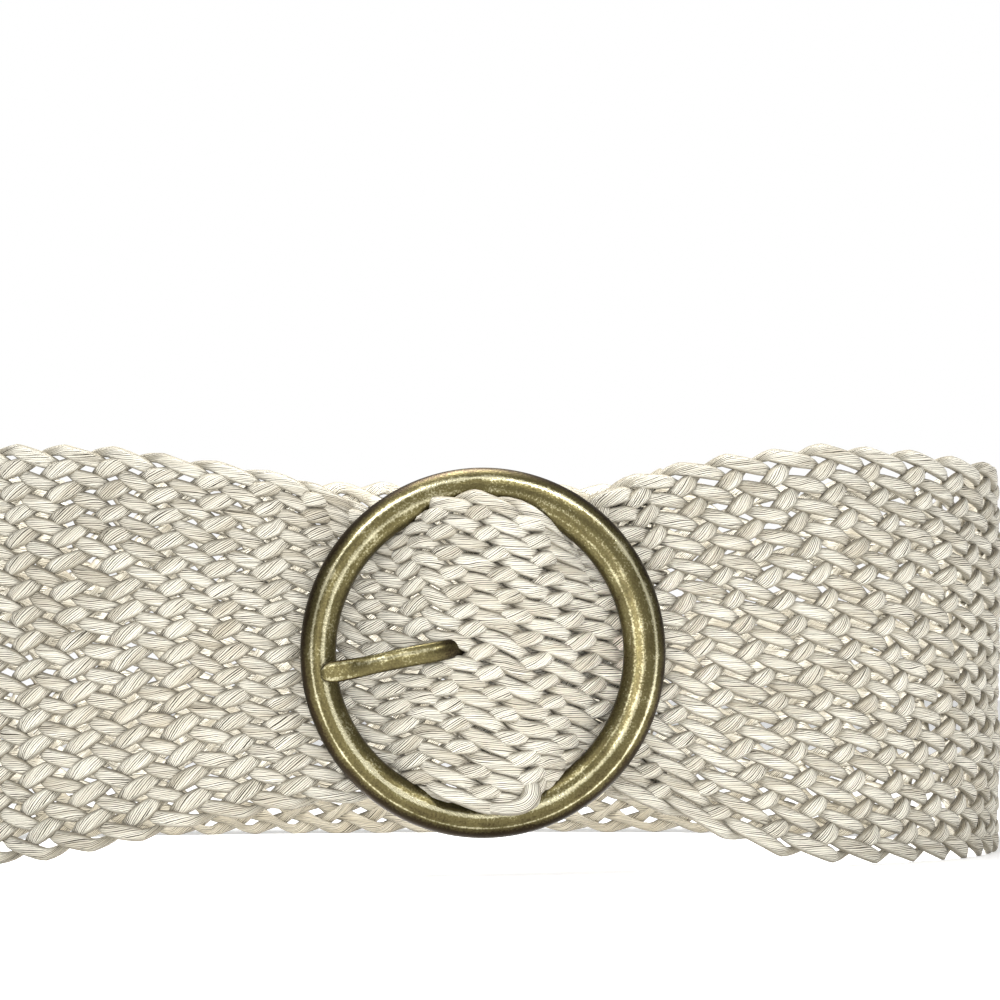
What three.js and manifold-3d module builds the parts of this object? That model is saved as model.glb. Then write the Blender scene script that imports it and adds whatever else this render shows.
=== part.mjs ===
// A wide braided belt, fastened through a round centre-bar buckle. It stands on its lower edge as an oval.
// Millimetres, +Z up, the buckle facing -Y. Shapes are made about the ring's centre, and the last lines put
// the middle of the hoop's footprint at the origin, on the ground.
// One strap makes the belt. Its free end lies behind the ring's right side and crosses in front of the bar,
// where the prong pierces it. From there the strap goes round the wearer, passes behind its own free end and
// folds round the bar.
import * as THREE from "three";
import { mergeVertices } from "three/addons/utils/BufferGeometryUtils.js";
import Module from "manifold-3d";

const wasm = await Module();
wasm.setup();

const gap = 0.3;
const ring = {
  outerRadius: 44.5,
  holeRadius: 35,
  holeShift: -0.9,
  depth: 6.6,
  height: 53,
  steps: 56,
  sides: 14,
};
const bar = { radius: 2, setBack: 2.3, reach: 37.5, sides: 16 };
const strap = { thickness: 2.8, layerPitch: 3.6, rows: 9, top: 50, bottom: -53 };
const hoop = { halfWidth: 155, halfDepth: 100, power: 2.3, frontY: 4.7, turnStep: 5 };
const weaveStep = 3.5;
const tailEnd = 38;
const flapEnd = 49;
const frontEnd = 48;
const layersMeet = 95;
const eye = { thickness: 1.8, height: 4.6, sides: 20 };
const prong = { sides: 12, sideGap: 0.45, faceGap: 0.4, slotLead: 1.6 };

// Height of the strap's two edges from the ring's centre, by the distance along the front from the bar.
const freeEndEdges = [
  { x: -150, top: 50, bottom: -53 },
  { x: -125, top: 50, bottom: -52.6 },
  { x: -105, top: 49.4, bottom: -50.6 },
  { x: -86, top: 48.2, bottom: -46.8 },
  { x: -69, top: 45.6, bottom: -41.5 },
  { x: -47, top: 41.3, bottom: -37.6 },
  { x: -34, top: 36.8, bottom: -35.2 },
  { x: -25, top: 31.2, bottom: -31 },
  { x: -18, top: 27.6, bottom: -28.4 },
  { x: -10, top: 33.8, bottom: -34.4 },
  { x: 0, top: 38.4, bottom: -38.2 },
  { x: 8, top: 35.6, bottom: -36.6 },
  { x: 12.5, top: 31.8, bottom: -32 },
  { x: 18, top: 27.2, bottom: -27.4 },
  { x: 28, top: 27, bottom: -25.5 },
  { x: 38, top: 20, bottom: -18 },
];
const barEndEdges = [
  { x: 0, top: 33, bottom: -33 },
  { x: 7, top: 32.4, bottom: -32.4 },
  { x: 13, top: 30.2, bottom: -30.2 },
  { x: 18, top: 27.6, bottom: -27 },
  { x: 25, top: 34, bottom: -28.6 },
  { x: 30, top: 38.6, bottom: -32 },
  { x: 36, top: 41.6, bottom: -35.4 },
  { x: 46, top: 44.8, bottom: -39 },
  { x: 57, top: 47.2, bottom: -43 },
  { x: 71, top: 48.8, bottom: -46.8 },
  { x: 93, top: 50, bottom: -52.6 },
  { x: 110, top: 50, bottom: -53 },
];

// Where a row crosses from behind the ring to the front of the bar: the rows near the edges have less room.
const crossing = { middleOut: 34.5, middleIn: 9.5, edgeOut: 23.6, edgeIn: 8, sharpness: 1.6 };

// The prong from its eye to its tip: plan place, height, width across the strap and thickness.
const prongSections = [
  { x: -2.7, y: 1.6, z: 1.7, width: 4.2, thickness: 2 },
  { x: -4.6, y: -1, z: 1.6, width: 4.5, thickness: 2.6 },
  { x: -7, y: -4.2, z: 1.3, width: 4.7, thickness: 2.8 },
  { x: -9.8, y: -6.9, z: 0.9, width: 4.8, thickness: 2.9 },
  { x: -13.5, y: -8.1, z: 0.3, width: 4.7, thickness: 2.9 },
  { x: -20, y: -7.8, z: -0.8, width: 4.3, thickness: 2.8 },
  { x: -27, y: -6.7, z: -2, width: 3.9, thickness: 2.6 },
  { x: -30, y: -6, z: -2.6, width: 4.4, thickness: 2.3 },
  { x: -33.5, y: -5.2, z: -3.2, width: 5.1, thickness: 2 },
  { x: -36.8, y: -4.75, z: -3.7, width: 5.2, thickness: 1.8 },
  { x: -38.6, y: -4.65, z: -4, width: 4, thickness: 1.6 },
  { x: -39.5, y: -4.6, z: -4.1, width: 1.8, thickness: 1 },
];

const brass = new THREE.MeshStandardMaterial({ color: 0x7d7040, roughness: 0.38, metalness: 1 });
const cordCloth = new THREE.MeshStandardMaterial({ color: 0xd8d1bf, roughness: 0.9, metalness: 0 });

const smooth = (t) => THREE.MathUtils.smoothstep(t, 0, 1);

function edgesAt(table, x) {
  const after = table.findIndex((row) => row.x >= x);
  if (after < 0) return table[table.length - 1];
  if (after === 0) return table[0];
  const a = table[after - 1];
  const b = table[after];
  const t = (x - a.x) / (b.x - a.x);
  const between = (from, to) => THREE.MathUtils.lerp(from, to, t);
  return { top: between(a.top, b.top), bottom: between(a.bottom, b.bottom) };
}

// A closed body through a list of rings of points, each with the same number of points.
function loft(sections) {
  const count = sections[0].length;
  const points = sections.flat();
  const faces = [];
  for (let i = 0; i + 1 < sections.length; i++)
    for (let j = 0; j < count; j++) {
      const k = (j + 1) % count;
      const [a, b, c, d] = [i * count + j, i * count + k, (i + 1) * count + k, (i + 1) * count + j];
      faces.push(a, b, c, a, c, d);
    }
  [0, sections.length - 1].forEach((end) => {
    const middle = sections[end].reduce((sum, p) => sum.add(p), new THREE.Vector3()).divideScalar(count);
    points.push(middle);
    for (let j = 0; j < count; j++) {
      const [a, b] = [end * count + j, end * count + ((j + 1) % count)];
      faces.push(...(end ? [points.length - 1, a, b] : [points.length - 1, b, a]));
    }
  });
  const geometry = new THREE.BufferGeometry().setFromPoints(points);
  geometry.setIndex(faces);
  return geometry;
}

function toSolid(geometry) {
  const bare = geometry.clone();
  bare.deleteAttribute("normal");
  bare.deleteAttribute("uv");
  const merged = mergeVertices(bare, 1e-4);
  return new wasm.Manifold(
    new wasm.Mesh({
      numProp: 3,
      vertProperties: merged.attributes.position.array,
      triVerts: new Uint32Array(merged.index.array),
    }),
  );
}

function toGeometry(solid) {
  const mesh = solid.getMesh();
  const geometry = new THREE.BufferGeometry();
  geometry.setAttribute("position", new THREE.BufferAttribute(mesh.vertProperties, 3));
  geometry.setIndex(new THREE.BufferAttribute(mesh.triVerts, 1));
  geometry.computeVertexNormals();
  return geometry;
}

function namedMesh(name, solid, material) {
  const mesh = new THREE.Mesh(toGeometry(solid), material);
  mesh.name = name;
  return mesh;
}

// The ring's metal is oval in section. Its hole lies a little to the left, so it is widest on the right.
function ringSolid() {
  const sections = [];
  for (let i = 0; i <= ring.steps; i++) {
    const turn = (i / ring.steps) * Math.PI * 2;
    const inner = ring.holeRadius + ring.holeShift * Math.cos(turn);
    const middle = (ring.outerRadius + inner) / 2;
    const halfWidth = (ring.outerRadius - inner) / 2;
    const section = [];
    for (let j = 0; j < ring.sides; j++) {
      const angle = (j / ring.sides) * Math.PI * 2;
      const radius = middle + halfWidth * Math.cos(angle);
      const depth = (ring.depth / 2) * Math.sin(angle);
      section.push(new THREE.Vector3(radius * Math.cos(turn), depth, radius * Math.sin(turn)));
    }
    sections.push(section);
  }
  // The last section is the first one, so the two caps are dropped.
  const geometry = loft(sections);
  const sideFaces = ring.steps * ring.sides * 6;
  geometry.setIndex(Array.from(geometry.index.array.slice(0, sideFaces)));
  return toSolid(geometry);
}

function barSolid() {
  const shaft = new THREE.CylinderGeometry(bar.radius, bar.radius, bar.reach * 2, bar.sides);
  shaft.rotateX(Math.PI / 2).translate(0, bar.setBack, 0);
  return toSolid(shaft);
}

function prongSection(row, index, rows, grow) {
  const [before, after] = [rows[Math.max(index - 1, 0)], rows[Math.min(index + 1, rows.length - 1)]];
  const along = new THREE.Vector3(after.x - before.x, after.y - before.y, after.z - before.z).normalize();
  const through = new THREE.Vector3().crossVectors(along, new THREE.Vector3(0, 0, 1)).normalize();
  const across = new THREE.Vector3().crossVectors(through, along).normalize();
  return Array.from({ length: prong.sides }, (_, j) => {
    const angle = (j / prong.sides) * Math.PI * 2;
    return new THREE.Vector3(row.x, row.y, row.z)
      .addScaledVector(across, Math.cos(angle) * (row.width / 2 + grow.side))
      .addScaledVector(through, Math.sin(angle) * (row.thickness / 2 + grow.face));
  });
}

function prongShank(grow) {
  return toSolid(loft(prongSections.map((row, i) => prongSection(row, i, prongSections, grow))));
}

function prongSolid() {
  const inner = bar.radius + gap;
  const profile = [
    new THREE.Vector2(inner, -eye.height / 2),
    new THREE.Vector2(inner + eye.thickness, -eye.height / 2),
    new THREE.Vector2(inner + eye.thickness, eye.height / 2),
    new THREE.Vector2(inner, eye.height / 2),
    new THREE.Vector2(inner, -eye.height / 2),
  ];
  const loop = new THREE.LatheGeometry(profile, eye.sides).rotateX(Math.PI / 2);
  loop.translate(0, bar.setBack, prongSections[0].z);
  return toSolid(loop).add(prongShank({ side: 0, face: 0 }));
}

function ovalFront(x) {
  const drop = (1 - Math.abs(x / hoop.halfWidth) ** hoop.power) ** (1 / hoop.power);
  return hoop.frontY + hoop.halfDepth * (1 - drop);
}

// How far a row has come forward through the ring, from 0 behind its sides to 1 at the bar.
function forward(x, v) {
  const edge = Math.abs(2 * v - 1) ** crossing.sharpness;
  const outEnd = THREE.MathUtils.lerp(crossing.middleOut, crossing.edgeOut, edge);
  const inEnd = THREE.MathUtils.lerp(crossing.middleIn, crossing.edgeIn, edge);
  return smooth((outEnd - Math.abs(x)) / (outEnd - inEnd));
}

const foldRadius = bar.radius + gap + strap.thickness / 2;
const barLayerY = bar.setBack - foldRadius;

// The three layers at the buckle, each a layer pitch behind the one before: free end, bar end and flap.
const frontReach = hoop.frontY - barLayerY + strap.layerPitch;
const freeEndY = (x, v) => ovalFront(x) - forward(x, v) * frontReach;
function barEndY(x, v) {
  const behind = 1 - smooth((x - frontEnd) / (layersMeet - frontEnd));
  return ovalFront(x) + strap.layerPitch * behind - forward(x, v) * frontReach;
}
function flapY(x, v) {
  const back = hoop.frontY + 2 * strap.layerPitch - (bar.setBack + foldRadius);
  return ovalFront(x) + 2 * strap.layerPitch - forward(x, v) * back;
}

// A section of the strap: its rows from the lower edge up the outer face, then down the inner face.
function strapSection(place, edges) {
  const [outer, inner] = [[], []];
  for (let j = 0; j < strap.rows; j++) {
    const v = j / (strap.rows - 1);
    const { x, y, outX, outY } = place(v);
    const z = THREE.MathUtils.lerp(edges.bottom, edges.top, v);
    const half = strap.thickness / 2;
    outer.push(new THREE.Vector3(x + outX * half, y + outY * half, z));
    inner.unshift(new THREE.Vector3(x - outX * half, y - outY * half, z));
  }
  return [...outer, ...inner];
}

const layerSection = (x, layerY, table, side) =>
  strapSection((v) => ({ x, y: layerY(x, v), outX: 0, outY: side }), edgesAt(table, x));

function steps(from, to, size) {
  const count = Math.round(Math.abs(to - from) / size);
  return Array.from({ length: count + 1 }, (_, i) => from + ((to - from) * i) / count);
}

// The plain oval from the left of the front, round the back, to the right of the front.
function ovalSections() {
  const turnAt = (x) => Math.acos(Math.abs(x / hoop.halfWidth) ** (hoop.power / 2));
  const first = turnAt(frontEnd) - Math.PI;
  const last = -Math.PI * 2 - turnAt(layersMeet);
  const turns = steps(first, last, THREE.MathUtils.degToRad(hoop.turnStep)).slice(1, -1);
  const nudge = 0.01;
  const point = (turn) => {
    const [c, s] = [Math.cos(turn), Math.sin(turn)];
    return new THREE.Vector2(
      Math.sign(c) * hoop.halfWidth * Math.abs(c) ** (2 / hoop.power),
      hoop.frontY + hoop.halfDepth * (1 + Math.sign(s) * Math.abs(s) ** (2 / hoop.power)),
    );
  };
  return turns.map((turn) => {
    const at = point(turn);
    const along = point(turn - nudge).sub(point(turn + nudge)).normalize();
    const inFront = at.y < hoop.frontY + hoop.halfDepth;
    const hidden = { top: strap.top, bottom: strap.bottom };
    const edges = inFront ? edgesAt(at.x < 0 ? freeEndEdges : barEndEdges, at.x) : hidden;
    return strapSection(() => ({ x: at.x, y: at.y, outX: -along.y, outY: along.x }), edges);
  });
}

function foldSections() {
  const edges = barEndEdges[0];
  return steps(-Math.PI / 2, -Math.PI * 1.5, Math.PI / 10).slice(1, -1).map((turn) => {
    const [outX, outY] = [Math.cos(turn), Math.sin(turn)];
    const place = { x: outX * foldRadius, y: bar.setBack + outY * foldRadius, outX, outY };
    return strapSection(() => place, edges);
  });
}

function strapSolid() {
  const sections = [
    ...steps(tailEnd, -frontEnd, weaveStep).map((x) => layerSection(x, freeEndY, freeEndEdges, -1)),
    ...ovalSections(),
    ...steps(layersMeet, 0, weaveStep).map((x) => layerSection(x, barEndY, barEndEdges, -1)),
    ...foldSections(),
    ...steps(0, flapEnd, weaveStep).map((x) => layerSection(x, flapY, barEndEdges, 1)),
  ];
  return toSolid(loft(sections));
}

// The slot in the fold that the prong's eye turns in. It has a lead on its left and stops short of the
// free end.
function eyeSlot() {
  const reach = bar.radius + gap + eye.thickness + prong.sideGap;
  const front = barLayerY - strap.thickness / 2 - gap;
  const back = bar.setBack + foldRadius + strap.thickness;
  const height = eye.height + 2 * prong.sideGap;
  const slot = new THREE.BoxGeometry(reach * 2 + prong.slotLead, back - front, height);
  slot.translate(-prong.slotLead / 2, (back + front) / 2, prongSections[0].z);
  return toSolid(slot);
}

const prongHole = prongShank({ side: prong.sideGap, face: prong.faceGap });
const woven = strapSolid().subtract(eyeSlot()).subtract(prongHole);

const buckle = new THREE.Group();
buckle.add(namedMesh("buckle_frame", ringSolid().add(barSolid()), brass));
buckle.add(namedMesh("prong", prongSolid(), brass));

const belt = new THREE.Group();
belt.add(buckle, namedMesh("woven_band", woven, cordCloth));

const footprint = new THREE.Box3().setFromObject(belt).getCenter(new THREE.Vector3());
belt.position.set(-footprint.x, -footprint.y, ring.height);

export default belt;
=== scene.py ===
import math
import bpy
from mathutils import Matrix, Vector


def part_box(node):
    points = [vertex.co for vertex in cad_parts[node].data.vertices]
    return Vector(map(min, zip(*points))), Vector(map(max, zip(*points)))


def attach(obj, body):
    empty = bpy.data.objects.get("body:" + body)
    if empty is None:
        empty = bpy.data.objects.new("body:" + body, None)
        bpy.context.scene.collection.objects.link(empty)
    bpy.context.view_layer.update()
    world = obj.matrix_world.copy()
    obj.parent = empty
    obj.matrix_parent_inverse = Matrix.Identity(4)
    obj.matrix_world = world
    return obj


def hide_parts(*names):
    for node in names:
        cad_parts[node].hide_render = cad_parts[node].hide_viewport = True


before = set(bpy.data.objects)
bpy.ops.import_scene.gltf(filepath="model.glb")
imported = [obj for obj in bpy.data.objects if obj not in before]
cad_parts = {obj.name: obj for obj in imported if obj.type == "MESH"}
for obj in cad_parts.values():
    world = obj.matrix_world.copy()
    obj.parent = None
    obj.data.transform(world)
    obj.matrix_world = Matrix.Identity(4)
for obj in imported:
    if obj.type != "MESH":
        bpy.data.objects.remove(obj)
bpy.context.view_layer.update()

from types import SimpleNamespace

import bpy
import numpy as np
from mathutils import Vector

mm = 0.001


# The ring's centre is where everything is measured from, in millimetres: x right, y back, z up.
ringDepth = 6.6
ringLow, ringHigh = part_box("buckle_frame")
ringX, ringZ = [(ringLow[i] + ringHigh[i]) / 2 for i in (0, 2)]
centre = Vector((ringX, ringLow[1] + ringDepth / 2 * mm, ringZ))


def fromRing(points):
    return np.asarray(points, dtype=float) * mm + np.array(centre)


def smooth(t):
    t = np.clip(t, 0, 1)
    return t * t * (3 - 2 * t)


# Rises smoothly from 0 to 1 while t goes from start to end, which may also be downwards.
def ramp(t, start, end):
    return smooth((t - start) / (end - start))


def bell(t, middle, width):
    return math.exp(-((t - middle) / width) ** 2)


def mix(a, b, t):
    return a + (b - a) * t


# The angles of a number of even steps round a circle.
def turnsOf(count):
    return [i / count * 2 * math.pi for i in range(count)]


def makeObject(name, data):
    obj = bpy.data.objects.new(name, data)
    bpy.context.scene.collection.objects.link(obj)
    return obj


def makeMesh(name, points, faces):
    mesh = bpy.data.meshes.new(name)
    mesh.from_pydata(fromRing(points).tolist(), [], faces)
    mesh.update()
    return mesh


# A number for each point of a mesh, or a vector as three numbers in a row.
def addField(mesh, name, kind, values):
    key = "vector" if kind == "FLOAT_VECTOR" else "value"
    mesh.attributes.new(name, kind, "POINT").data.foreach_set(key, values)


def gridFaces(rows, columns, closedRows, start=0):
    faces = []
    for i in range(rows if closedRows else rows - 1):
        near, far = start + i * columns, start + (i + 1) % rows * columns
        for j in range(columns):
            other = (j + 1) % columns
            faces.append((near + j, near + other, far + other, far + j))
    return faces


# A tube of rings of points, closed at both ends.
def tubeFaces(rows, columns, start=0):
    faces = gridFaces(rows, columns, False, start)
    faces.append(tuple(reversed(range(start, start + columns))))
    end = start + rows * columns
    faces.append(tuple(range(end - columns, end)))
    return faces


# A smooth curve through the places of a table, from the first to the last.
def splined(table, stepsPerSpan):
    padded = np.vstack([2 * table[0] - table[1], table, 2 * table[-1] - table[-2]])
    stations = []
    for i in range(1, len(padded) - 2):
        a, b, c, d = padded[i - 1:i + 3]
        for k in range(stepsPerSpan):
            s = k / stepsPerSpan
            bend, change = 2 * a - 5 * b + 4 * c - d, 3 * b - a - 3 * c + d
            stations.append(0.5 * (2 * b + (c - a) * s + bend * s ** 2 + change * s ** 3))
    return np.array(stations + [padded[-2]])


# The middles of a tube's stations, the ways along them and their steps' lengths.
def pathOf(stations):
    middle = stations[:, :3]
    along = np.gradient(middle, axis=0)
    lengths = np.linalg.norm(along, axis=1)
    return middle, along / lengths[:, None], lengths


def finishPiece(obj, node):
    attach(obj, "root")
    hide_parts(node)


def finishMesh(name, mesh, paint, node):
    mesh.shade_smooth()
    mesh.materials.append(paint)
    finishPiece(makeObject(name, mesh), node)


# A node tree with short calls for its nodes, its links and its sums.
class Bench:
    def __init__(self, tree):
        self.tree = tree

    def feed(self, socket, value):
        if isinstance(value, bpy.types.NodeSocket):
            self.tree.links.new(value, socket)
        else:
            socket.default_value = value

    def feedAll(self, node, feeds):
        for key, value in feeds.items():
            self.feed(node.inputs[key], value)

    def add(self, kind, feeds=None, **settings):
        node = self.tree.nodes.new(kind)
        for key, value in settings.items():
            setattr(node, key, value)
        self.feedAll(node, feeds or {})
        return node

    def sum(self, operation, *values):
        return self.add("ShaderNodeMath", dict(enumerate(values)), operation=operation).outputs[0]

    def plus(self, first, *others):
        for value in others:
            first = self.sum("ADD", first, value)
        return first

    def times(self, first, *others):
        for value in others:
            first = self.sum("MULTIPLY", first, value)
        return first

    def minus(self, a, b):
        return self.sum("SUBTRACT", a, b)

    def scaled(self, value, by, added):
        return self.sum("MULTIPLY_ADD", value, by, added)

    def absolute(self, value):
        return self.sum("ABSOLUTE", value)

    # A power of a value from -1 to 1 that keeps its sign.
    def signedPower(self, value, power):
        return self.times(self.sum("SIGN", value), self.sum("POWER", self.absolute(value), power))

    def vector(self, operation, *values):
        keys = (0, "Scale") if operation == "SCALE" else (0, 1)
        node = self.add("ShaderNodeVectorMath", dict(zip(keys, values)), operation=operation)
        return node.outputs["Value" if operation == "LENGTH" else "Vector"]

    def join(self, x, y, z):
        return self.add("ShaderNodeCombineXYZ", {0: x, 1: y, 2: z}).outputs[0]

    def split(self, vector):
        return self.add("ShaderNodeSeparateXYZ", {0: vector}).outputs

    # What lies between low and high is laid out between start and end.
    def ranged(self, value, low, high, start=0, end=1, kind="LINEAR"):
        feeds = {"Value": value, "From Min": low, "From Max": high, "To Min": start, "To Max": end}
        return self.add("ShaderNodeMapRange", feeds, interpolation_type=kind).outputs[0]

    def noise(self, place, scale, detail, output=0):
        feeds = {"Vector": place, "Scale": scale, "Detail": detail}
        return self.add("ShaderNodeTexNoise", feeds).outputs[output]

    def mixed(self, share, a, b):
        feeds = {"Factor": share, "A": a, "B": b}
        return self.add("ShaderNodeMix", feeds, data_type="RGBA").outputs["Result"]

    def bump(self, height, distance, strength):
        feeds = {"Height": height, "Distance": distance, "Strength": strength}
        return self.add("ShaderNodeBump", feeds).outputs[0]

    # What a geometry node makes of the geometry in its first socket.
    def made(self, kind, geometry, feeds=None, **settings):
        node = self.add("GeometryNode" + kind, feeds, **settings)
        self.feed(node.inputs[0], geometry)
        return node.outputs[0]

    def stored(self, geometry, name, value):
        feeds = {"Name": name, "Value": value}
        return self.made("StoreNamedAttribute", geometry, feeds, data_type="FLOAT_VECTOR", domain="POINT")

    # Fields that are fixed on the points before the geometry changes.
    def kept(self, geometry, **fields):
        node = self.add("GeometryNodeCaptureAttribute", {"Geometry": geometry}, domain="POINT")
        for name, value in fields.items():
            node.capture_items.new("VECTOR" if value.type == "VECTOR" else "FLOAT", name)
            self.feed(node.inputs[name], value)
        return node.outputs


def startMaterial(name):
    material = bpy.data.materials.new(name)
    material.use_nodes = True
    return material, Bench(material.node_tree), material.node_tree.nodes["Principled BSDF"]


# Camera

cameraSetup = {
    "distance": 890,
    "turn": -10,  # degrees round the ring, to the left
    "frameWidth": 240,  # of the belt's front that the picture takes in
    "ringAtX": 484.4,  # pixels in the square picture
    "ringAtY": 653,
    "pictureSize": 1000,
    "sensor": 36,
    "nearest": 0.01,  # metres
}


def addCamera(setup):
    data = bpy.data.cameras.new("camera")
    camera = makeObject("camera", data)
    turn = math.radians(setup["turn"])
    away = Vector((math.sin(turn), -math.cos(turn), 0)) * setup["distance"] * mm
    camera.location = centre + away
    camera.rotation_euler = (-away).to_track_quat("-Z", "Y").to_euler()
    data.sensor_width = setup["sensor"]
    data.lens = setup["sensor"] * setup["distance"] / setup["frameWidth"]
    half = setup["pictureSize"] / 2
    data.shift_x = (half - setup["ringAtX"]) / setup["pictureSize"]
    data.shift_y = (setup["ringAtY"] - half) / setup["pictureSize"]
    data.clip_start = setup["nearest"]
    bpy.context.scene.camera = camera


addCamera(cameraSetup)
print("camera set")


# Studio

studio = {
    "floorReach": 3.0,  # metres
    "floorColour": (0.93, 0.93, 0.93, 1), "floorRoughness": 0.9, "floorGlow": 0.3,
    "skyForCamera": 1.0, "skyForLight": 0.42,
}
lamps = {
    "key": {"place": (-0.35, -0.75, 0.75), "size": 0.4, "watts": 3.4},
    "right": {"place": (0.28, -0.75, 0.46), "size": 0.12, "watts": 1.9},
    "front": {"place": (-0.12, -0.86, 0.11), "size": 0.12, "watts": 1.0},
    "buckle": {"place": (-0.25, -0.85, 0.09), "size": 0.05, "watts": 0.003, "spread": 5,
               "target": tuple(centre + Vector((0.034, 0, 0.004)))},
    "inside": {"place": (0.0, -0.02, 0.45), "size": 0.15, "watts": 4.8, "target": (0.0, 0.1, 0.05)},
}


def addStudio():
    world = bpy.data.worlds.new("studio_sky")
    world.use_nodes = True
    bpy.context.scene.world = world
    world.node_tree.nodes.clear()
    bench = Bench(world.node_tree)
    seen = bench.add("ShaderNodeLightPath").outputs["Is Camera Ray"]
    strength = bench.ranged(seen, 0, 1, studio["skyForLight"], studio["skyForCamera"])
    light = bench.add("ShaderNodeBackground", {"Color": (1, 1, 1, 1), "Strength": strength})
    bench.add("ShaderNodeOutputWorld", {"Surface": light.outputs[0]})

    reach = studio["floorReach"]
    mesh = bpy.data.meshes.new("floor")
    corners = [(-reach, -reach, 0), (reach, -reach, 0), (reach, reach, 0), (-reach, reach, 0)]
    mesh.from_pydata(corners, [], [(0, 1, 2, 3)])
    floor = makeObject("floor", mesh)
    paint, bench, shader = startMaterial("floor_paint")
    bench.feedAll(shader, {"Base Color": studio["floorColour"], "Roughness": studio["floorRoughness"],
                           "Emission Color": (1, 1, 1, 1), "Emission Strength": studio["floorGlow"]})
    floor.data.materials.append(paint)

    for name, lamp in lamps.items():
        data = bpy.data.lights.new(name, "AREA")
        data.size = lamp["size"]
        data.energy = lamp["watts"]
        data.spread = math.radians(lamp.get("spread", 180))
        light = makeObject(name, data)
        light.location = lamp["place"]
        target = Vector(lamp.get("target", tuple(centre)))
        light.rotation_euler = (target - light.location).to_track_quat("-Z", "Y").to_euler()


addStudio()
bpy.context.scene.view_settings.view_transform = "Standard"
print("studio set")


# The strap's middle surface: one long strip with its length in braid pitches and its width from 0 to 1.

strap = {
    "layerPitch": 3.6, "thickness": 2.8, "gap": 0.3, "barRadius": 2, "barSetBack": 2.3,
    "top": 50, "bottom": -53, "tailEnd": 38, "frontEnd": 48, "layersMeet": 95, "flapEnd": 49,
    "columns": 36, "station": 1.2, "foldStations": 24,
    "ovalStation": 0.6,  # degrees
    "foldTurns": 3,  # whole pitches on the fold, besides the part that brings the layers in step
}
hoop = {"halfWidth": 155, "halfDepth": 100, "power": 2.3, "frontY": 4.7}
crossing = {"middleOut": 34.5, "middleIn": 9.5, "edgeOut": 23.6, "edgeIn": 8, "sharpness": 1.6}
rowSlope = {"fall": 0.065, "reach": 45, "sharpness": 2.5, "fade": (30, 90), "right": (40, 100),
            "rightDrop": -2, "rightRise": 1}
columnLean = {"left": 0.09, "right": 0.4, "change": (-50, 6), "fade": (20, 100)}

# The length of a pitch: it changes from left to right, and grows by the stretch further right.
pitches = {"left": 12.6, "buckle": 12, "right": 13.5, "change": (-40, 40), "stretch": 0.1,
           "stretched": (60, 120), "holeX": -7.8}

# How high the bar end's rows may lie inside the ring, and from where to where they leave it.
inRing = {"limit": 33.0, "ease": 8.0, "leave": (16, 30)}

# The height of one row in the middle of the strap: towards the edges the rows are bunched.
rowHeights = [(-64, 2.75), (-24, 2.4), (0, 2.32), (14, 2.5), (28, 2.8), (38, 2.85)]
bunching = 3.0
rows = 32

# Distance along the front from the bar, then the heights of the upper and the lower edge.
freeEndEdges = [
    (-150, 50, -53), (-125, 50.4, -52.6), (-105, 50.3, -50.6), (-86, 49.3, -46.8), (-69, 46.9, -41.5),
    (-47, 42.6, -37.6), (-34, 38.1, -36), (-25, 33, -34.4), (-19, 32.2, -32.6), (-14.8, 35.8, -33.4),
    (-10, 37.2, -36.2), (-3, 38.5, -37.8), (3, 38, -38.4), (7, 36.4, -38.4), (11, 34, -36.4),
    (12.6, 32.8, -34), (14.5, 31.5, -32.6), (18, 29.4, -31.4), (24, 26.4, -28.6), (28, 24, -26.6),
    (38, 17, -19),
]
barEndEdges = [
    (0, 33, -33), (7, 32.4, -32.4), (13, 30.2, -30.2), (18, 27.6, -27), (25, 34, -28.6), (30, 38.6, -32),
    (36, 42.2, -35.4), (46, 45.6, -39.2), (57, 48, -43.4), (64, 49, -46.2), (71, 49.8, -48.3),
    (78, 51, -50.4), (85, 51.8, -51.6), (93, 52, -52.6), (110, 51.6, -53), (135, 50, -53),
]


def edgesAt(table, x):
    places, tops, bottoms = zip(*table)
    return np.interp(x, places, tops), np.interp(x, places, bottoms)


def bunched(x, v, top, bottom):
    places, heights = zip(*rowHeights)
    crowd = max(1, np.interp(x, places, heights) * rows / (top - bottom))
    side = 2 * v - 1
    spread = crowd * side / (1 + (crowd ** bunching - 1) * np.abs(side) ** bunching) ** (1 / bunching)
    return (top + bottom) / 2 + (top - bottom) / 2 * spread


def ovalFront(x):
    drop = (1 - abs(x / hoop["halfWidth"]) ** hoop["power"]) ** (1 / hoop["power"])
    return hoop["frontY"] + hoop["halfDepth"] * (1 - drop)


def forward(x, v):
    edge = np.abs(2 * v - 1) ** crossing["sharpness"]
    outEnd = mix(crossing["middleOut"], crossing["edgeOut"], edge)
    inEnd = mix(crossing["middleIn"], crossing["edgeIn"], edge)
    return ramp(abs(x), outEnd, inEnd)


def bulge(v):
    return 1 - np.abs(2 * v - 1) ** rowSlope["sharpness"]


def fallOfRows(x, v):
    return -rowSlope["fall"] * rowSlope["reach"] * math.tanh(x / rowSlope["reach"]) * bulge(v)


def riseOfRows(x, v):
    share = ramp(x, *rowSlope["right"])
    return mix(rowSlope["rightDrop"], rowSlope["rightRise"], share) * bulge(v)


foldRadius = strap["barRadius"] + strap["gap"] + strap["thickness"] / 2
barLayerY = strap["barSetBack"] - foldRadius
frontReach = hoop["frontY"] - barLayerY + strap["layerPitch"]


def stationOf(x, y, heights):
    return np.stack([np.full_like(heights, x), np.full_like(heights, y), heights], axis=1)


def freeEndHeights(x, v):
    top, bottom = edgesAt(freeEndEdges, x)
    return bunched(x, v, top, bottom) + fallOfRows(x, v)


def freeEndAt(x, v):
    return stationOf(x, ovalFront(x) - forward(x, v) * frontReach, freeEndHeights(x, v))


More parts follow.
